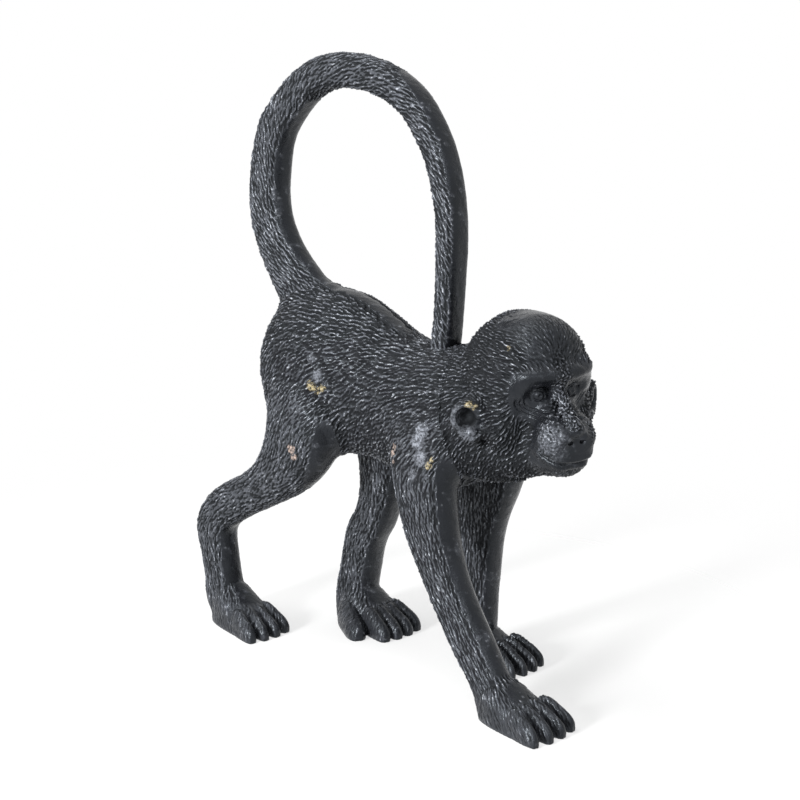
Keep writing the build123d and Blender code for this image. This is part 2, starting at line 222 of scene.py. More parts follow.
def turned(forward, left, up, centre, normal, upright):
    """Head coordinates as ones out of, up and across a form that faces along a normal."""
    df, dl, du = forward - centre[0], left - centre[1], up - centre[2]
    side = np.cross(upright, normal)
    return [df * axis[0] + dl * axis[1] + du * axis[2] for axis in (normal, upright, side)]


def ring(forward, left, up, centre, normal, upright, wide, thick):
    """Field of an oval ring; wide is its half height and half width."""
    out, high, across = turned(forward, left, up, centre, normal, upright)
    far = np.sqrt((high / wide[0]) ** 2 + (across / wide[1]) ** 2) + tiny
    flat = (far - 1) * min(wide)
    return np.sqrt(flat * flat + out * out) - thick


def dish(forward, left, up, centre, normal, upright, radii):
    """Field of an ellipsoid with its own axes: out, up and across."""
    return ellipsoid(*turned(forward, left, up, centre, normal, upright), (0, 0, 0), radii)


class Sculpt:
    """Adds and cuts forms in the head's frame, each in its own small box.

    The first two values of each call are the box's middle, in head coordinates, and its reach to
    every side. The rounding is that of the corner or the edge where the form meets the head.
    """

    def __init__(self, window, field):
        self.window = window
        self.field = field

    def box(self, middle, reach):
        """Slices of a box's grid points, and their head coordinates."""
        place = from_head(*middle)
        slices = self.window.part(place - reach, place + reach)
        return slices, to_head(*np.ix_(*(axis[part] for axis, part in zip(self.window.axes, slices))))

    def add(self, middle, reach, shape, rounding, **sizes):
        slices, place = self.box(middle, reach)
        self.field[slices] = join(self.field[slices], shape(*place, **sizes), rounding)

    def cut(self, middle, reach, shape, rounding, **sizes):
        slices, place = self.box(middle, reach)
        self.field[slices] = trim(self.field[slices], -shape(*place, **sizes), rounding)

    def press(self, middle, reach, depth):
        """Moves the surface in where the depth function of head coordinates is positive."""
        slices, place = self.box(middle, reach)
        self.field[slices] += depth(*place)


# How far the cast head is softened before the face is modelled on it.
head_softness = 0.8

# An eye's middle in head coordinates, its ball, and its lids: their thickness, where they end
# above and below the eye's middle, and how much the upper one slants.
eye_forward = 15.4
eye_left = 7.6
eye_up = 12.8
eye_radius = 4.9
lid_thickness = 0.9
upper_lid_end = 2.3
lower_lid_end = 2.4
lid_slant = 0.14

# The line of the mouth, its groove, and the two lips at each side of it.
mouth_front = 34.0
mouth_up = -13.5
mouth_rise_share = 0.42
mouth_groove_width = 0.7
lip_gap = 2.4
lip_width = 1.5
upper_lip_height = 0.8
lower_lip_height = 0.7

# Wrinkles below the eyes, and the cuts in each eyeball: round its iris and in its pupil.
wrinkle_radii = (6.6, 8.0, 9.6)
wrinkle_depth = 0.7
wrinkle_width = 0.42
iris_radius = 2.2
iris_depth = 0.5
iris_width = 0.4
pupil_depth = 0.6
pupil_width = 0.7

# An ear's middle, how far it turns forward, and how far from its middle it is wholly ear and ends.
ear_place = (-2.0, 29.5, 0.6)
ear_turn = math.radians(42)
ear_inside = 7.4
ear_end = 9.0


def cut_hollows(work, side):
    """Hollow cheek between the nose and the hair, a narrower muzzle and the eye's socket."""
    work.cut((20, side * 18, 1), 22, ellipsoid, 5.0,
             centre=(23.0, side * 19.0, 0.0), radii=(11.5, 9.0, 11.5))
    work.cut((33, side * 17, -8), 20, ellipsoid, 3.0,
             centre=(37.0, side * 17.5, -8.0), radii=(13.0, 8.5, 17.0))
    work.cut((22, side * 11, 11), 18, ellipsoid, 3.0,
             centre=(24.0, side * 10.0, 11.5), radii=(6.0, 6.6, 5.6))


def add_brow(work, side):
    """Ridge over an eye, from the middle of the brow out and down to the temple."""
    middle = (20.6, 0.0, 21.0)
    outer = (17.6, side * 13.5, 21.4 + side * 1.2)
    temple = (10.5, side * 19.0, 14.0)
    work.add((19, side * 8, 21), 24, rod, 3.0,
             start=middle, end=outer, start_radius=3.2, end_radius=4.0)
    work.add((14, side * 17, 18), 18, rod, 3.0,
             start=outer, end=temple, start_radius=4.2, end_radius=2.8)


def add_eye(work, side):
    """Mound of the eye, the opening in it, the ball and the two lids."""
    middle = (eye_forward, side * eye_left, eye_up)
    lid_radii = (eye_radius + lid_thickness,) * 3

    def upper_lid(forward, left, up):
        edge = eye_up + upper_lid_end - lid_slant * (left - middle[1]) * side
        return np.maximum(ellipsoid(forward, left, up, middle, lid_radii), edge - up)

    def lower_lid(forward, left, up):
        edge = eye_up - lower_lid_end
        return np.maximum(ellipsoid(forward, left, up, middle, lid_radii), up - edge)

    work.add(middle, 15, ellipsoid, 2.0,
             centre=(eye_forward - 2.0, side * eye_left, eye_up - 1.0), radii=(6.4, 6.8, 6.8))
    work.cut(middle, 14, ellipsoid, 0.8,
             centre=(eye_forward + 4.8, side * eye_left, eye_up), radii=(4.2, 5.0, 4.2))
    work.add(middle, 11, ellipsoid, 0.4, centre=middle, radii=(eye_radius,) * 3)
    work.add(middle, 11, upper_lid, 0.4)
    work.add(middle, 11, lower_lid, 0.4)


def add_nose_side(work, side):
    """Side of the nose, the fleshy cheek below it, the nostril's wing and the nostril."""
    work.add((26, side * 5, 3), 20, rod, 4.0,
             start=(19.0, side * 4.5, 7.0), end=(30.0, side * 6.0, -3.0), start_radius=3.4, end_radius=5.0)
    work.add((29, side * 8, -3), 16, ellipsoid, 3.0,
             centre=(28.0, side * 7.0, -4.0), radii=(8.0, 4.8, 7.5))
    work.add((35, side * 4, -2), 9, ellipsoid, 1.6,
             centre=(34.0, side * 4.0, -2.6), radii=(3.2, 2.5, 2.6))
    work.cut((37, side * 3, -5), 6, ellipsoid, 0.4,
             centre=(36.8, side * 2.9, -4.8), radii=(2.2, 1.5, 0.9))


def add_nose(work):
    """Hollows beside the nose, then its bridge and its tip."""
    for side in (-1, 1):
        work.cut((37, side * 10, 2), 14, ellipsoid, 2.0,
                 centre=(38.0, side * 10.5, 2.5), radii=(6.5, 5.6, 5.4))
    work.add((27, 0, 9), 22, rod, 2.5,
             start=(18.6, 0.0, 18.0), end=(33.6, 0.6, 1.6), start_radius=2.2, end_radius=3.0)
    work.add((35, 0, 0), 10, ellipsoid, 1.6, centre=(34.6, 0.6, 0.2), radii=(3.2, 3.8, 3.0))


def add_muzzle(work):
    """Muzzle, the hollow before the chin, the chin, and the clefts between muzzle and cheek hair."""
    work.add((30, 0, -9), 18, ellipsoid, 2.5, centre=(24.6, 0.0, -8.6), radii=(12.0, 10.8, 5.8))
    work.cut((35, 0, -19), 14, ellipsoid, 2.0, centre=(39.0, 0.0, -21.0), radii=(6.5, 14.0, 7.0))
    work.add((28, 0, -18), 18, ellipsoid, 0.8, centre=(22.0, 0.0, -17.8), radii=(11.0, 8.4, 4.0))
    for side in (-1, 1):
        top = (20.5, side * 17.0, 3.0)
        end = (18.5, side * 16.0, -13.0)
        work.cut((20, side * 17, -5), 22, rod, 2.5, start=top, end=end, start_radius=3.4, end_radius=2.6)


def mouth_depth(forward, left, up):
    """Groove of the mouth, positive, between the two raised lips."""
    from_corners = ramp(forward, 15.0, 27.0) * ramp(-np.abs(left), -15.0, -10.0)
    gap = up - (mouth_up + mouth_rise_share * (mouth_front - forward))
    upper = upper_lip_height * bell(gap - lip_gap, lip_width)
    lower = lower_lip_height * bell(gap + lip_gap, lip_width)
    lips = (upper + lower) * ramp(forward, 18.0, 26.0)
    return from_corners * (bell(gap, mouth_groove_width) - lips)


def wrinkles_depth(forward, left, up):
    """Curved wrinkles below each eye."""
    depth = 0
    for side in (-1, 1):
        far = np.sqrt((left - side * (eye_left + 0.4)) ** 2 + (up - eye_up) ** 2)
        below = ramp(eye_up - up, 0.5, 3.5) * ramp(forward, 6.0, 10.0)
        for radius in wrinkle_radii:
            depth = depth + below * wrinkle_depth * bell(far - radius, wrinkle_width)
    return depth


def iris_rings_depth(forward, left, up):
    """Cut round each iris and in the pupil in its middle."""
    depth = 0
    for side in (-1, 1):
        far = np.sqrt((left - side * (eye_left + 0.3)) ** 2 + (up - eye_up + 0.3) ** 2)
        front = ramp(forward, eye_forward + 2.6, eye_forward + 3.6) * ramp(-far, -3.0, -2.6)
        edge = iris_depth * bell(far - iris_radius, iris_width)
        depth = depth + front * (edge + pupil_depth * bell(far, pupil_width))
    return depth


def ear_axes(side):
    """An ear's middle, the way it faces and its upright."""
    centre = np.array([ear_place[0], side * ear_place[1], ear_place[2]])
    outward = np.array([math.sin(ear_turn), side * math.cos(ear_turn), 0.0])
    return centre, outward, np.array([0.0, 0.0, 1.0])


def add_ear(work, side):
    """Ear with the ruff before it, its root, plate, rim, hollow, notch, inner fold and lobe."""
    middle, outward, upright = ear_axes(side)
    inward = np.cross(outward, upright) * side
    facing = {"normal": outward, "upright": upright}
    work.add((6, side * 20, -1), 22, ellipsoid, 4.0,
             centre=(5.5, side * 16.5, -1.0), radii=(8.5, 9.0, 13.0))
    root = middle - outward * 3.0 - (0, side * 1.5, 0)
    work.add(middle, 20, ellipsoid, 3.0, centre=root, radii=(6.5, 5.0, 9.5))
    plate = np.array([0.0, side * 29.0, 0.0]) - outward * 0.9
    work.add(middle, 20, dish, 0.8, centre=plate, radii=(2.8, 9.2, 6.9), **facing)
    rim = middle + outward * 2.9
    work.add(middle, 18, ring, 1.2, centre=rim, wide=(6.2, 5.6), thick=1.5, **facing)
    hollow = middle + outward * 3.2 + upright * 0.6 - inward * 0.4
    work.cut(middle, 16, dish, 0.5, centre=hollow, radii=(5.0, 4.6, 4.0), **facing)
    notch = hollow + inward * 5.4 - upright * 2.6 + outward
    work.cut(middle, 16, dish, 1.5, centre=notch, radii=(3.6, 2.6, 4.2), **facing)
    fold = middle + outward * 0.4 - upright * 5.4 + inward
    fold_end = fold + inward * 4.2 + upright * 5.6
    work.add(middle, 14, rod, 0.8, start=fold, end=fold_end, start_radius=1.7, end_radius=1.1)
    lobe = middle - upright * 6.5
    lobe_end = middle - upright * 10.0 - outward * 1.5
    work.add(middle, 14, rod, 1.2, start=lobe, end=lobe_end, start_radius=2.6, end_radius=3.0)


def sculpt_head(window, field):
    """Brow, sockets, eyes, nose, lips, cheeks and ears, in this order on the cast head."""
    work = Sculpt(window, field)
    for side in (-1, 1):
        cut_hollows(work, side)
    for side in (-1, 1):
        add_brow(work, side)
        add_eye(work, side)
        add_nose_side(work, side)
    add_nose(work)
    add_muzzle(work)
    work.press((24, 0, -10), 24, mouth_depth)
    work.press((16, 0, 8), 24, wrinkles_depth)
    work.press((18, 0, 13), 16, iris_rings_depth)
    for side in (-1, 1):
        add_ear(work, side)
    return work.field


def ear_hollow_share(forward, left, up):
    """1 inside the hollows of the ears, 0 elsewhere."""
    share = 0
    for side in (-1, 1):
        middle, outward, upright = ear_axes(side)
        centre = middle + outward * 2.0 + upright * 0.6
        hollow = dish(forward, left, up, centre, outward, upright, (4.6, 4.9, 4.2))
        share = np.maximum(share, ramp(-hollow, -0.4, 0.3))
    return share


def ear_share(forward, left, up):
    """1 on the ears, 0 elsewhere."""
    share = 0
    for side in (-1, 1):
        middle = ear_axes(side)[0]
        far = np.sqrt((forward - middle[0]) ** 2 + (left - middle[1]) ** 2 + (up - middle[2]) ** 2)
        share = np.maximum(share, ramp(-far, -ear_end, -ear_inside))
    return share


# Forward coordinate of the hairline at the temples, and how soft it is.
hairline = 11.0
hairline_edge = 0.8


def face_share(forward, left, up):
    """1 on the bare face, 0 in the hair.

    The hairline is the forward coordinate where the face begins. It comes forward at the sides,
    beside the mouth, at the peak over the brow and at the crown.
    """
    sides = 0.6 * np.maximum(np.abs(left) - 15.5, 0)
    brow = 0.15 * np.maximum(up - 16.0, 0)
    beside_mouth = 7.5 * ramp(-up, -5.0, 3.0)
    peak = 14.0 * bell(left, 6.5) * ramp(up, 19.5, 22.5)
    crown = 9.0 * ramp(up, 22.0, 26.0)
    line = hairline + sides + brow + beside_mouth + peak + crown
    before_hair = ramp(forward, line - hairline_edge, line + hairline_edge)
    below_crown = ramp(-up, -25.5, -24.0)
    above_throat = ramp(up, -22.5, -19.5)
    return before_hair * below_crown * above_throat


# How rounded the inner corner is between each casting and the body. The tail's is wide at its
# root and narrows, over a stretch of x, to where its tip meets the back.
join_radius = {"head": 2.5, "right_arm": 5.0, "left_arm": 5.0, "right_leg": 9.0, "left_leg": 9.0}
tail_root_radius = 8.0
tail_tip_radius = 1.0
tail_stretch = (-30.0, 0.0)

# Least resin over an insert.
insert_cover = 0.3


def figure_field(window):
    """The whole figure's field in a window, and each casting's own distance."""
    distances = {node: window.distance(node) for node in castings if window.overlaps(node, band)}
    tail_radius = tail_root_radius + (tail_tip_radius - tail_root_radius) * ramp(window.x, *tail_stretch)
    radii = {"tail": tail_radius, **join_radius}
    field = distances["torso"]
    for node, values in distances.items():
        if node != "torso":
            field = join(field, values, radii[node])
    for node in inserts:
        if window.overlaps(node, 0):
            field = np.minimum(field, window.distance(node) - insert_cover)
    return field, distances


def surface(field, window):
    """Points and quads of the field's surface."""
    grid = openvdb.FloatGrid(float(band))
    grid.copyFromArray(np.ascontiguousarray(field, np.float32), ijk=tuple(int(i) for i in window.first))
    grid.gridClass = "level set"
    points, quads = grid.convertToQuads(0.0)
    return points.astype(np.float64) * window.cell, quads.astype(np.int64)


def point_normals(points, quads):
    """Direction of the surface at each point, from the quads round it."""
    across = points[quads[:, 2]] - points[quads[:, 0]]
    along = points[quads[:, 3]] - points[quads[:, 1]]
    face = np.cross(across, along)
    normals = np.zeros_like(points)
    for i in range(3):
        for corner in range(4):
            normals[:, i] += np.bincount(quads[:, corner], face[:, i], len(points))
    return unit(normals)


# The box at the origin is the middle one of its row, so that no box has a negative number.
middle_box = 4096
box_count = 2 * middle_box


def boxes_of(points, size):
    """The box of each point, as three whole numbers."""
    return np.floor(points / size).astype(np.int64) + middle_box


def box_keys(boxes):
    """One whole number for each box."""
    return (boxes[:, 0] * box_count + boxes[:, 1]) * box_count + boxes[:, 2]


def chosen_points(points, spacing, seed):
    """One random point in each box of the spacing."""
    order = np.random.default_rng(seed).permutation(len(points))
    keys = box_keys(boxes_of(points[order], spacing))
    return order[np.unique(keys, return_index=True)[1]]


def near_pairs(points, centres, reach):
    """Index pairs of points and centres in the same box of the reach or in neighbouring ones."""
    keys = box_keys(boxes_of(points, reach))
    order = np.argsort(keys, kind="stable")
    sorted_keys = keys[order]
    home = boxes_of(centres, reach)
    for shift in itertools.product((-1, 0, 1), repeat=3):
        wanted = box_keys(home + shift)
        start = np.searchsorted(sorted_keys, wanted)
        count = np.searchsorted(sorted_keys, wanted, side="right") - start
        total = int(count.sum())
        if total == 0:
            continue
        which = np.repeat(np.arange(len(centres)), count)
        step = np.arange(total) - np.repeat(np.cumsum(count) - count, count)
        yield order[np.repeat(start, count) + step], which


# A kind of carved stroke: how far apart the strokes are, their half length, half width and depth,
# how much they waver in radians, the share of the burr beside them, and the seed of their draws.
Stroke = namedtuple("Stroke", "spacing length width depth waver burr seed")
low_burr = 0.35

# Single strokes differ from their kind by these shares.
length_shares = (0.7, 1.25)
width_shares = (0.75, 1.25)
depth_shares = (0.6, 1.2)

# Strokes are left out where their weight is less. A stroke acts on points within some half
# lengths and half widths of it, and no further than the layer, in millimetres, above or below.
least_weight = 0.12
far_length = 1.3
far_width = 2.2
layer = 1.6

# Section of a stroke: it is deeper at one end, steep in the middle and raised beside its edge.
lean = 0.35
least_taper = 0.05
notch_steepness = 1.6
burr_place = 1.55
burr_steepness = 5.0
deepest = 1.6
highest = 0.8


def carve(points, normals, flow, weight, stroke):
    """Short tapered notches along the flow, as a height for each point."""
    picks = chosen_points(points, stroke.spacing, stroke.seed)
    picks = picks[weight[picks] > least_weight]
    noise = np.random.default_rng(stroke.seed + 1)
    centres = points[picks]
    normal = normals[picks]
    straight = unit(flow[picks] - (flow[picks] * normal).sum(1, keepdims=True) * normal)
    beside = np.cross(normal, straight)
    angle = noise.normal(0, stroke.waver, len(picks))[:, None]
    run = straight * np.cos(angle) + beside * np.sin(angle)
    across = beside * np.cos(angle) - straight * np.sin(angle)
    length = stroke.length * noise.uniform(*length_shares, len(picks))
    width = stroke.width * noise.uniform(*width_shares, len(picks))
    depth = stroke.depth * noise.uniform(*depth_shares, len(picks)) * weight[picks]
    height = np.zeros(len(points))
    for point, which in near_pairs(points, centres, stroke.length * far_length):
        offset = points[point] - centres[which]
        a = np.einsum("ij,ij->i", offset, run[which]) / length[which]
        b = np.einsum("ij,ij->i", offset, across[which]) / width[which]
        c = np.einsum("ij,ij->i", offset, normal[which])
        inside = (np.abs(a) < 1) & (np.abs(b) < far_width) & (np.abs(c) < layer)
        point, which, a, b = point[inside], which[inside], a[inside], b[inside]
        taper = (1 - a * a) * (1 - lean * a)
        narrow = np.sqrt(np.maximum(taper, least_taper))
        notch = np.exp(-((b / narrow) ** 2) * notch_steepness)
        edge = np.exp(-((np.abs(b) - burr_place) ** 2) * burr_steepness)
        value = depth[which] * taper * (stroke.burr * edge - notch)
        height += np.bincount(point, value, len(points))
    return np.clip(height, -deepest * stroke.depth, highest * stroke.depth)


def lumps(points, size, seed):
    """Smooth random values between about -1 and 1, with lumps of a given size."""
    noise = np.random.default_rng(seed)
    total = np.zeros(len(points))
    waves = 9
    for _ in range(waves):
        direction = noise.normal(size=3)
        direction *= 2 * math.pi / size / np.linalg.norm(direction) * noise.uniform(0.6, 1.4)
        total += np.sin(points @ direction + noise.uniform(0, 2 * math.pi))
    return total / (waves / 2)


def line_of(node, place, steps):
    """Middle points of a wire, each with its place, in order of the place along the wire."""
    points = solids[node][0].astype(float)
    value = place(points)
    edges = np.linspace(value.min(), value.max(), steps + 1)
    middle = []
    for start, end in zip(edges[:-1], edges[1:]):
        inside = (value >= start) & (value <= end)
        if inside.any():
            middle.append(np.append(points[inside].mean(0), (start + end) / 2))
    return np.array(middle)


# Middle of the tail's loop, in x and z, and how many stretches a wire's line is made of.
loop_middle = (-30.0, 205.0)
tail_steps = 26
limb_steps = 12


def loop_angle(points):
    """Angle round the tail's loop, from below it."""
    angle = np.arctan2(points[:, 2] - loop_middle[1], points[:, 0] - loop_middle[0])
    return np.mod(angle + math.pi / 2, 2 * math.pi)


def height_of(points):
    return points[:, 2]


def along(node, points):
    """Direction of the wire of a limb or the tail beside each point."""
    place, steps = (loop_angle, tail_steps) if node == "tail" else (height_of, limb_steps)
    line = line_of(node + "_wire", place, steps)
    run = unit(np.gradient(line[:, :3], line[:, 3], axis=0))
    value = place(points)
    return unit(np.stack([np.interp(value, line[:, 3], run[:, i]) for i in range(3)], 1))


# Height of the back and how far below it the coat lies steepest, and the angles at which the
# coat runs down: along the back, more down the sides, and more again at the hips.
back_height = 168.0
side_drop = 70.0
back_angle = 8.0
side_angle = 44.0
hip_angle = 22.0


def body_flow(points):
    """Fur direction on the body: back along the spine, steeper down the sides and hips."""
    down = np.clip((back_height - points[:, 2]) / side_drop, 0, 1)
    hip = ramp(-points[:, 0], 20.0, 55.0)
    angle = np.radians(back_angle + side_angle * down + hip_angle * hip * ramp(down, 0.0, 0.4))
    return np.stack([-np.cos(angle), np.zeros(len(points)), -np.sin(angle)], 1)


def head_flow(points):
    """Hair combed back from the face, and more downwards the lower and further back it grows."""
    forward, _, up = to_head(*points.T)
    droop = np.clip(0.15 + (12.0 - up) / 40.0 + np.maximum(-forward, 0) / 60.0, 0.0, 1.3)
    return -forward_axis - droop[:, None] * up_axis


def coat_flow(node, points, normals):
    """Fur direction on a casting. The limbs' runs down them and turns into the body's at the top."""
    if node == "head":
        return head_flow(points)
    if node == "torso":
        return body_flow(points)
    flow = along(node, points)
    if node == "tail":
        twist = 0.45
        return flow + twist * np.cross(normals, flow)
    top = ramp(points[:, 2], 90.0, 115.0)[:, None]
    return -flow * (1 - top) + body_flow(points) * top


# The smooth strip along the spine: its middle, its half width, and the groove at its edge.
spine_y = 0.3
spine_half_width = 4.6
spine_groove_depth = 0.7
spine_groove_width = 0.6


def spine_edge(points):
    """Distance outwards from the ragged edge of the smooth strip along the spine."""
    straight = np.abs(points[:, 1] - spine_y) - spine_half_width
    return straight + 0.9 * lumps(points, 7.0, 51) + 0.5 * lumps(points, 2.5, 52)


def spine_length(points):
    """1 along the smooth strip, 0 beyond its ends."""
    return ramp(points[:, 2], 150.0, 158.0) * ramp(-points[:, 0], -6.0, 2.0)


# Long creases round the right shoulder: two ends, the depth and the width.
creases = (
    ((37.5, -19.5, 149.0), (43.0, -23.5, 136.0), 0.8, 0.7),
    ((43.0, -23.5, 136.0), (48.5, -25.5, 122.0), 0.9, 0.7),
    ((19.3, -25.2, 129.0), (21.5, -26.2, 124.5), 1.1, 0.8),
    ((27.0, -26.0, 127.0), (37.0, -26.0, 129.0), 0.7, 0.7),
)


def crease_depth(points):
    """Depth of the long creases at each point."""
    depth = np.zeros(len(points))
    for start, end, deep, wide in creases:
        run = np.subtract(end, start)
        share = np.clip((points - start) @ run / (run @ run), 0, 1)
        gap = np.linalg.norm(points - start - share[:, None] * run, axis=1)
        depth = np.maximum(depth, deep * bell(gap, wide))
    return depth


# The way that the smooth fronts of the chest, the tail and the limbs face, and the height below
# which the limbs' fronts are smooth.
front_way = np.array([0.97, 0.1, 0.12])
smooth_top = 122.0


def hair_share(points):
    """Where the hair of the head is carved: not on the face, the ears and the smooth crown."""
    forward, left, up = to_head(*points.T)
    top = ramp(up + 4.5 * ramp(forward, 4.0, 10.0), 24.0, 28.0)
    middle = ramp(-np.abs(left) + 0.8 * lumps(points, 8.0, 61), -17.0, -13.5)
    crown = top * middle * ramp(forward + 1.5 * lumps(points, 7.0, 62), -14.0, -4.0)
    crown_hair = 0.04 + 0.22 * ramp(forward, 2.0, 10.0)
    share = (1 - face_share(forward, left, up)) * (1 - crown * (1 - crown_hair))
    return share * (1 - ear_share(forward, left, up))


def fur_share(node, points, normals):
    """Where the fur is carved, from 0 to 1."""
    if node == "head":
        return hair_share(points)
    front = normals @ front_way
    if node == "torso":
        spine = ramp(-spine_edge(points), -0.4, 0.4) * spine_length(points)
        chest = ramp(front, 0.35, 0.5) * ramp(points[:, 0], 20.0, 30.0)
        return (1 - spine) * (1 - chest)
    if node == "tail":
        return 1 - ramp(front, 0.42, 0.52)
    above_foot = ramp(points[:, 2], 10.0, 20.0)
    foot_fur = 0.35
    smooth = ramp(front, 0.48, 0.58) * ramp(smooth_top - points[:, 2], 0.0, 12.0)
    return (1 - smooth) * (foot_fur + (1 - foot_fur) * above_foot)


def coat(spacing, length, depth, short_spacing):
    """A coat's long strokes and the short ones between them."""
    return (
        Stroke(spacing, length, width=0.5, depth=depth, waver=0.12, burr=low_burr, seed=21),
        Stroke(short_spacing, length=1.2, width=0.42, depth=0.3, waver=0.3, burr=low_burr, seed=22),
    )


arm_coat = coat(spacing=1.5, length=2.6, depth=0.34, short_spacing=2.0)
leg_coat = coat(spacing=1.9, length=2.0, depth=0.42, short_spacing=2.4)
coats = {
    "head": (
        Stroke(spacing=1.1, length=1.9, width=0.44, depth=0.52, waver=0.10, burr=low_burr, seed=11),
        Stroke(spacing=2.0, length=1.3, width=0.42, depth=0.35, waver=0.2, burr=low_burr, seed=12),
    ),
    "torso": coat(spacing=1.5, length=1.75, depth=0.55, short_spacing=2.4),
    "tail": coat(spacing=1.5, length=2.0, depth=0.42, short_spacing=2.4),
    "right_arm": arm_coat,
    "left_arm": arm_coat,
    "right_leg": leg_coat,
    "left_leg": leg_coat,
}
skin_pits = Stroke(spacing=1.3, length=1.0, width=0.5, depth=0.5, waver=1.5, burr=0.6, seed=13)
chin_hair = Stroke(spacing=1.5, length=1.2, width=0.42, depth=0.22, waver=0.4, burr=low_burr, seed=14)


# Unevenness of the cast surface: height and size of its broad lumps and of its fine ones.
broad_height, broad_size = 0.10, 9.0
fine_height, fine_size = 0.05, 3.2


def relief(node, points, normals, fur):
    """Carved fur and the cast surface's unevenness, as a height for each point."""
    flow = coat_flow(node, points, normals)
    height = np.zeros(len(points))
    if node == "torso":
        height -= spine_groove_depth * bell(spine_edge(points), spine_groove_width) * spine_length(points)
    for stroke in coats[node]:
        height += carve(points, normals, flow, fur, stroke)
    if node == "head":
        forward, left, up = to_head(*points.T)
        bridge = bell(left, 3.5) * ramp(forward, 20.0, 23.0) * ramp(up, -1.0, 2.0)
        cheek = bell(np.hypot(forward - 30.0, up + 4.0), 6.5) * ramp(np.abs(left), 5.0, 7.5)
        chin = ramp(-up, 15.0, 18.0) * ramp(forward, 5.0, 12.0)
        height += carve(points, normals, flow, np.clip(bridge + cheek, 0, 1), skin_pits)
        height += carve(points, normals, flow, chin, chin_hair)
    height -= crease_depth(points)
    height += broad_height * lumps(points, broad_size, 31) * (0.5 + 0.5 * fur)
    height += fine_height * lumps(points, fine_size, 32)
    return height


def make_piece(name, points, quads, values):
    """A piece of smooth quads, with a value of each kind for every point."""
    mesh = bpy.data.meshes.new(name)
    mesh.vertices.add(len(points))
    mesh.vertices.foreach_set("co", (points * MM).astype(np.float32).ravel())
    mesh.loops.add(len(quads) * 4)
    mesh.loops.foreach_set("vertex_index", quads.astype(np.int32).ravel())
    mesh.polygons.add(len(quads))
    mesh.polygons.foreach_set("loop_start", np.arange(0, len(quads) * 4, 4, dtype=np.int32))
    mesh.polygons.foreach_set("use_smooth", np.ones(len(quads), bool))
    for key, value in values.items():
        mesh.attributes.new(key, "FLOAT", "POINT").data.foreach_set("value", value.astype(np.float32))
    mesh.update(calc_edges=True)
    piece = bpy.data.objects.new(name, mesh)
    scene.collection.objects.link(piece)
    return piece


# Chips in the paint, down to a gold or to a pale undercoat: middle and radius.
gold_chips = (
    ((69.0, -35.4, 145.4), 1.9),
    ((71.6, -34.4, 144.9), 1.7),
    ((-34.7, -24.8, 131.6), 2.2),
    ((-31.5, -24.4, 130.2), 1.8),
    ((-28.6, -23.9, 131.8), 1.8),
    ((40.3, -28.6, 110.5), 1.6),
    ((41.8, -27.9, 113.4), 1.2),
    ((81.1, -24.1, 170.0), 1.0),
)
pale_chips = (
    ((-41.0, -32.0, 101.8), 2.2),
    ((-39.6, -32.0, 98.4), 1.6),
    ((17.8, -27.5, 111.4), 1.7),
    ((19.2, -27.7, 114.5), 1.4),
    ((18.6, -27.6, 107.8), 1.0),
)
# Places of wear, rubbed smooth and grey and lightened further as a painted highlight, and painted
# highlights alone on the right cheek and the nose's bridge: middle, radius and strength.
wear_and_highlight_places = (
    ((35.0, -26.7, 125.4), 3.4, 1.0),
    ((33.7, -27.8, 119.9), 3.6, 1.0),
    ((35.8, -28.8, 113.2), 3.2, 0.9),
    ((31.6, -29.4, 104.7), 2.4, 0.5),
    ((-31.8, -24.0, 137.0), 2.8, 0.7),
    ((-35.2, -23.1, 144.0), 2.6, 0.5),
    # Painted highlights, not wear: the next two on the right cheek, the two after them on the bridge of
    # the nose.
    ((104.0, -22.5, 134.5), 5.5, 0.40),
    ((106.5, -20.0, 129.5), 4.0, 0.30),
    ((104.5, -11.7, 141.5), 3.6, 0.5),
    ((101.5, -11.5, 146.0), 3.0, 0.45),
    ((64.0, -37.0, 139.0), 4.5, 0.5),
    ((67.5, -34.5, 131.5), 4.0, 0.5),
)

# How soft the edges of the patches are, in shares of their radii, and how ragged: the share of
# the radius that they waver by, and the size of the waves.
chip_edge = 0.2
wear_and_highlight_edge = 0.35
rag_share = 0.25
rag_size = 2.2


def patches_share(points, places, edge):
    """1 inside the listed patches, or less where they say so, and 0 outside, with a ragged edge."""
    share = np.zeros(len(points))
    ragged = rag_share * lumps(points, rag_size, 41)
    for middle, radius, *strength in places:
        near = np.linalg.norm(points - middle, axis=1) / radius + ragged
        level = strength[0] if strength else 1.0
        share = np.maximum(share, level * ramp(-near, -1.0 - edge, -1.0 + edge))
    return share


# How much painted sheen, a lighter grey standing in for the light on the fur, the coat of each casting
# has. The right cheek has more.
coat_sheen = {
    "torso": 0.35,
    "head": 0.35,
    "tail": 0.9,
    "right_arm": 0.9,
    "left_arm": 0.9,
    "right_leg": 0.7,
    "left_leg": 0.7,
}
sheen_cheek = (75.0, -27.0, 133.0)
sheen_cheek_radius = 12.0
sheen_cheek_more = 0.6

# Room round a solid for its joints and its relief, and the heights between which the relief
# sets in above the flat soles.
window_margin = 3.0
sole_edge = (0.4, 2.0)

# Past the seam to its neighbour a casting draws in at this slope, and ends after this overlap.
seam_slope = 0.7
seam_overlap = 0.6

# How much of the coat is lost where the paint is rubbed smooth, and how much deeper than they are the
# hollows of the ears count for the paint, which darkens them with painted shade.
worn_coat_loss = 0.8
ear_hollow_shade_depth = 0.3


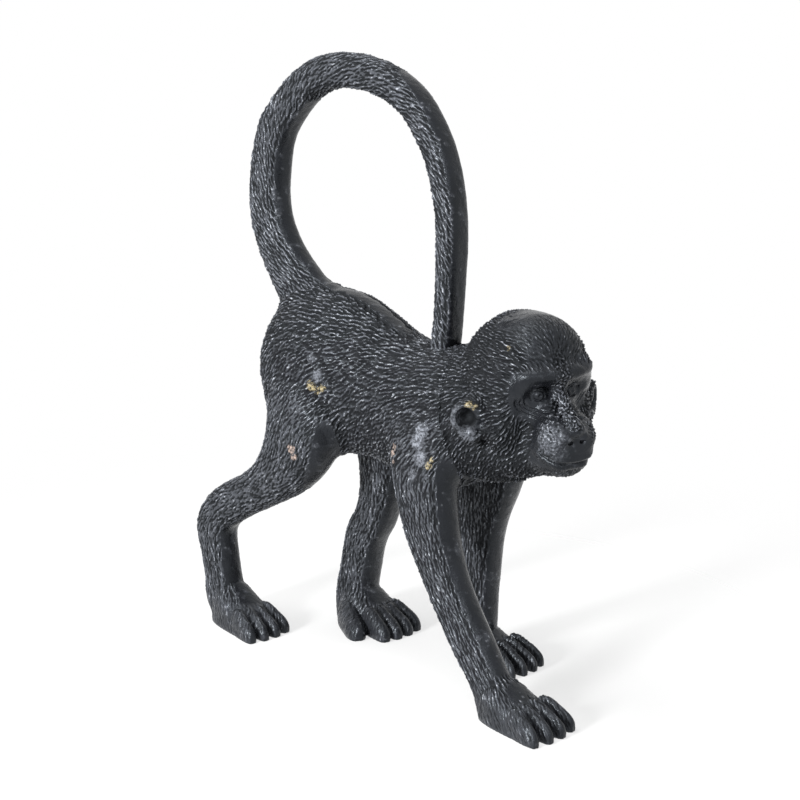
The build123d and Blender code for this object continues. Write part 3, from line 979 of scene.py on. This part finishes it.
def casting_surface(node):
    """Points, quads and normals of a casting, before its relief."""
    low = solids[node][0].min(0) - window_margin
    high = solids[node][0].max(0) + window_margin
    window = Window(low, high, torso_cell if node == "torso" else fine_cell)
    field, distances = figure_field(window)
    if node == "head":
        field = soften(field, round(head_softness / window.cell))
        field = sculpt_head(window, field)
    field = np.maximum(field, -window.z)
    others = [values for name, values in distances.items() if name != node]
    past_seam = (distances[node] - np.minimum.reduce(others)) / 2
    field = np.maximum(field + seam_slope * np.maximum(past_seam, 0), past_seam - seam_overlap)
    points, quads = surface(field, window)
    normals = point_normals(points, quads)
    if (normals * (points - points.mean(0))).sum() < 0:
        return points, quads[:, ::-1], -normals
    return points, quads, normals


def build_casting(node):
    """A casting's piece, with the values that its paint follows."""
    points, quads, normals = casting_surface(node)
    wear_and_highlight = patches_share(points, wear_and_highlight_places, wear_and_highlight_edge)
    fur = fur_share(node, points, normals) * (1 - worn_coat_loss * wear_and_highlight)
    height = relief(node, points, normals, fur)
    height *= ramp(points[:, 2], *sole_edge)
    points = points + normals * height[:, None]
    points[:, 2] = np.maximum(points[:, 2], 0)
    # Painted sheen on the coat, standing in for the light on the fur.
    painted_sheen = coat_sheen[node]
    if node == "head":
        # Painted shade: the ears' hollows count as deeper grooves, so the paint darkens them.
        height = height - ear_hollow_shade_depth * ear_hollow_share(*to_head(*points.T))
        # More painted sheen on the right cheek's ruff.
        cheek_gap = np.linalg.norm(points - sheen_cheek, axis=1)
        painted_sheen = painted_sheen + sheen_cheek_more * bell(cheek_gap, sheen_cheek_radius)
    values = {
        "height": height,
        "wear_and_highlight": wear_and_highlight,
        "gold": patches_share(points, gold_chips, chip_edge),
        "pale": patches_share(points, pale_chips, chip_edge),
        "painted_sheen": fur * np.clip(painted_sheen, 0, 1),
    }
    piece = make_piece(node + "_casting", points, quads, values)
    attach(piece, "root")
    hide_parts(node)
    return piece


class Shading:
    """Makes and links the nodes of a material or of the world."""

    def __init__(self, owner):
        owner.use_nodes = True
        self.nodes = owner.node_tree.nodes
        self.link = owner.node_tree.links.new

    def fill(self, node, inputs):
        """Gives a node's inputs their values, or the outputs that they follow."""
        for socket, value in inputs.items():
            if isinstance(value, bpy.types.NodeSocket):
                self.link(value, node.inputs[socket])
            else:
                node.inputs[socket].default_value = value
        return node

    def add(self, kind, inputs):
        return self.fill(self.nodes.new(kind), inputs)

    def spread(self, source, low, high, to_low, to_high):
        """Node that brings a value from one range to another."""
        inputs = {"Value": source, "From Min": low, "From Max": high, "To Min": to_low, "To Max": to_high}
        return self.add("ShaderNodeMapRange", inputs)

    def combined(self, operation, a, b):
        """Two values multiplied, added or compared."""
        node = self.add("ShaderNodeMath", {0: a, 1: b})
        node.operation = operation
        return node.outputs[0]

    def layered(self, under, over, share):
        """One colour over another by a share. The colours are inputs 6 and 7 and output 2."""
        node = self.nodes.new("ShaderNodeMix")
        node.data_type = "RGBA"
        return self.fill(node, {0: share, 6: under, 7: over}).outputs[2]

    def bump(self, height, strength, distance):
        return self.add("ShaderNodeBump", {"Height": height, "Strength": strength, "Distance": distance})


# Colours of the paint: black and its softer patches, painted sheen on the coat, painted highlights on the
# ridges and painted glints on them, painted shade at the bottom of the grooves, wear with a painted
# highlight on it, and the two undercoats.
black = (0.006, 0.0065, 0.008, 1)
soft_black = (0.013, 0.014, 0.017, 1)
sheen_grey = (0.072, 0.077, 0.088, 1)
ridge_highlight_grey = (0.075, 0.080, 0.094, 1)
ridge_glint = (0.42, 0.44, 0.48, 1)
groove_shade_black = (0.002, 0.002, 0.0025, 1)
wear_highlight_grey = (0.24, 0.255, 0.29, 1)
gold_undercoat = (0.42, 0.35, 0.20, 1)
pale_undercoat = (0.46, 0.36, 0.31, 1)

# Noise of the paint: scale to a metre, detail and roughness.
patch_noise = (60.0, 4.0, 0.6)
speck_noise = (650.0, 3.0, 0.7)
gloss_noise = (140.0, 5.0, 0.65)
grain_noise = (1400.0, 4.0, 0.6)
dent_noise = (420.0, 3.0, 0.6)


def paint_material():
    """Black paint with painted sheen, highlights and glints on the coat, painted shade in its grooves, and
    chips through to its undercoats.
    """
    material = bpy.data.materials.new("black_paint")
    work = Shading(material)
    given = {}
    for name in ("height", "wear_and_highlight", "gold", "pale", "painted_sheen"):
        node = work.nodes.new("ShaderNodeAttribute")
        node.attribute_name = name
        given[name] = node.outputs["Fac"]
    place = work.nodes.new("ShaderNodeTexCoord").outputs["Object"]

    def noise(scale, detail, rough):
        inputs = {"Scale": scale, "Detail": detail, "Roughness": rough, "Vector": place}
        return work.add("ShaderNodeTexNoise", inputs).outputs["Fac"]

    def spread(*ranges):
        return work.spread(*ranges).outputs["Result"]

    specks = noise(*speck_noise)

    def speckled(area, *ranges):
        return work.combined("MULTIPLY", area, spread(specks, *ranges))

    ridges = spread(given["height"], 0.03, 0.16, 0.0, 0.9)
    layers = (
        # Painted sheen on the coat: a lighter grey for the light on the fur.
        (speckled(given["painted_sheen"], 0.30, 0.60, 0.35, 0.9), sheen_grey),
        # Painted highlight: the raised ridges beside the strokes are lighter.
        (ridges, ridge_highlight_grey),
        # Painted glints: bright specks on the ridges.
        (speckled(ridges, 0.54, 0.64, 0.0, 1.0), ridge_glint),
        # Painted shade: the bottoms of the grooves are darker.
        (spread(given["height"], -0.24, -0.04, 1.0, 0.0), groove_shade_black),
        # Wear, lightened further as a painted highlight; on the cheek and the nose's bridge a painted
        # highlight only.
        (speckled(given["wear_and_highlight"], 0.42, 0.60, 0.15, 0.95), wear_highlight_grey),
        (speckled(given["gold"], 0.42, 0.62, 0.0, 0.9), gold_undercoat),
        (speckled(given["pale"], 0.42, 0.62, 0.0, 0.9), pale_undercoat),
    )
    colour = work.layered(black, soft_black, spread(noise(*patch_noise), 0.35, 0.65, 0.0, 1.0))
    for share, over in layers:
        colour = work.layered(colour, over, share)

    satin = spread(noise(*gloss_noise), 0.3, 0.7, 0.12, 0.36)
    dull_grooves = spread(given["height"], -0.25, -0.02, 0.5, 0.0)
    grain = work.bump(noise(*grain_noise), strength=0.45, distance=0.0003)
    dents = work.bump(noise(*dent_noise), strength=0.35, distance=0.0008)
    work.link(grain.outputs["Normal"], dents.inputs["Normal"])
    work.fill(work.nodes["Principled BSDF"], {
        "IOR": 1.35,
        "Specular Tint": (0.84, 0.92, 1.0, 1),
        "Base Color": colour,
        "Roughness": work.combined("ADD", satin, dull_grooves),
        "Normal": dents.outputs["Normal"],
    })
    return material


def steel_material():
    """Plain drawn steel of the pin and the wires."""
    material = bpy.data.materials.new("drawn_steel")
    work = Shading(material)
    scratches = work.add("ShaderNodeTexNoise", {"Scale": 800.0}).outputs["Fac"]
    work.fill(work.nodes["Principled BSDF"], {
        "Base Color": (0.55, 0.55, 0.56, 1),
        "Metallic": 1.0,
        "Roughness": work.spread(scratches, 0.0, 1.0, 0.3, 0.5).outputs["Result"],
    })
    return material


paint = paint_material()
for casting in castings:
    build_casting(casting).data.materials.append(paint)

steel = steel_material()
for insert in inserts:
    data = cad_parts[insert].data
    data.materials.clear()
    data.materials.append(steel)

# The floor is a white disc whose middle fades outwards into the white surroundings.
floor_radius = 1.6
floor_corners = 96
fade_start = 0.12
fade_end = 0.34
clear_share_inside = 0.65


def floor_material():
    """White, partly clear in the middle and wholly clear beyond the fade."""
    material = bpy.data.materials.new("floor_white")
    work = Shading(material)
    white = work.nodes["Principled BSDF"]
    work.fill(white, {"Base Color": (0.93, 0.93, 0.93, 1), "Roughness": 0.9})
    place = work.nodes.new("ShaderNodeTexCoord").outputs["Object"]
    far = work.add("ShaderNodeVectorMath", {0: place})
    far.operation = "LENGTH"
    fade = work.spread(far.outputs["Value"], fade_start, fade_end, clear_share_inside, 1.0)
    fade.interpolation_type = "SMOOTHSTEP"
    clear = work.nodes.new("ShaderNodeBsdfTransparent")
    ends = {0: fade.outputs["Result"], 1: white.outputs[0], 2: clear.outputs[0]}
    blend = work.add("ShaderNodeMixShader", ends)
    work.link(blend.outputs[0], work.nodes["Material Output"].inputs[0])
    return material


angles = [2 * math.pi * i / floor_corners for i in range(floor_corners)]
corners = [(floor_radius * math.cos(angle), floor_radius * math.sin(angle), 0) for angle in angles]
floor_mesh = bpy.data.meshes.new("floor")
floor_mesh.from_pydata(corners, [], [tuple(range(floor_corners))])
floor_mesh.materials.append(floor_material())
floor = bpy.data.objects.new("floor", floor_mesh)
scene.collection.objects.link(floor)

# The surroundings are white to the camera, to reflections and to rays that pass through a
# surface, and light the figurine less.
seen_brightness = 1.0
lighting_brightness = 0.45

world = bpy.data.worlds.new("studio")
scene.world = world
studio = Shading(world)
rays = studio.nodes.new("ShaderNodeLightPath").outputs
glossy_or_through = studio.combined("MAXIMUM", rays["Is Glossy Ray"], rays["Is Transmission Ray"])
seen = studio.combined("MAXIMUM", rays["Is Camera Ray"], glossy_or_through)
brightness = studio.spread(seen, 0.0, 1.0, lighting_brightness, seen_brightness)
studio.fill(studio.nodes["Background"], {"Color": (1, 1, 1, 1), "Strength": brightness.outputs["Result"]})


def soft_lamp(name, place, target, size, power):
    """A rectangular lamp at a place, turned to a target."""
    lamp = bpy.data.lights.new(name, "AREA")
    lamp.shape = "RECTANGLE"
    lamp.size, lamp.size_y = size
    lamp.energy = power
    holder = bpy.data.objects.new(name, lamp)
    scene.collection.objects.link(holder)
    holder.location = place
    turn_to(holder, place, target)


soft_lamp("top_light", place=(-0.3, -0.3, 1.2), target=(0, 0, 0.1), size=(0.6, 0.6), power=9.0)
soft_lamp("left_light", place=(-0.05, -1.5, 0.55), target=(0, 0, 0.14), size=(0.3, 0.4), power=38.0)
soft_lamp("front_light", place=(1.2, -0.6, 0.9), target=(0, 0, 0.12), size=(0.4, 0.6), power=3.5)

scene.view_settings.view_transform = "Standard"
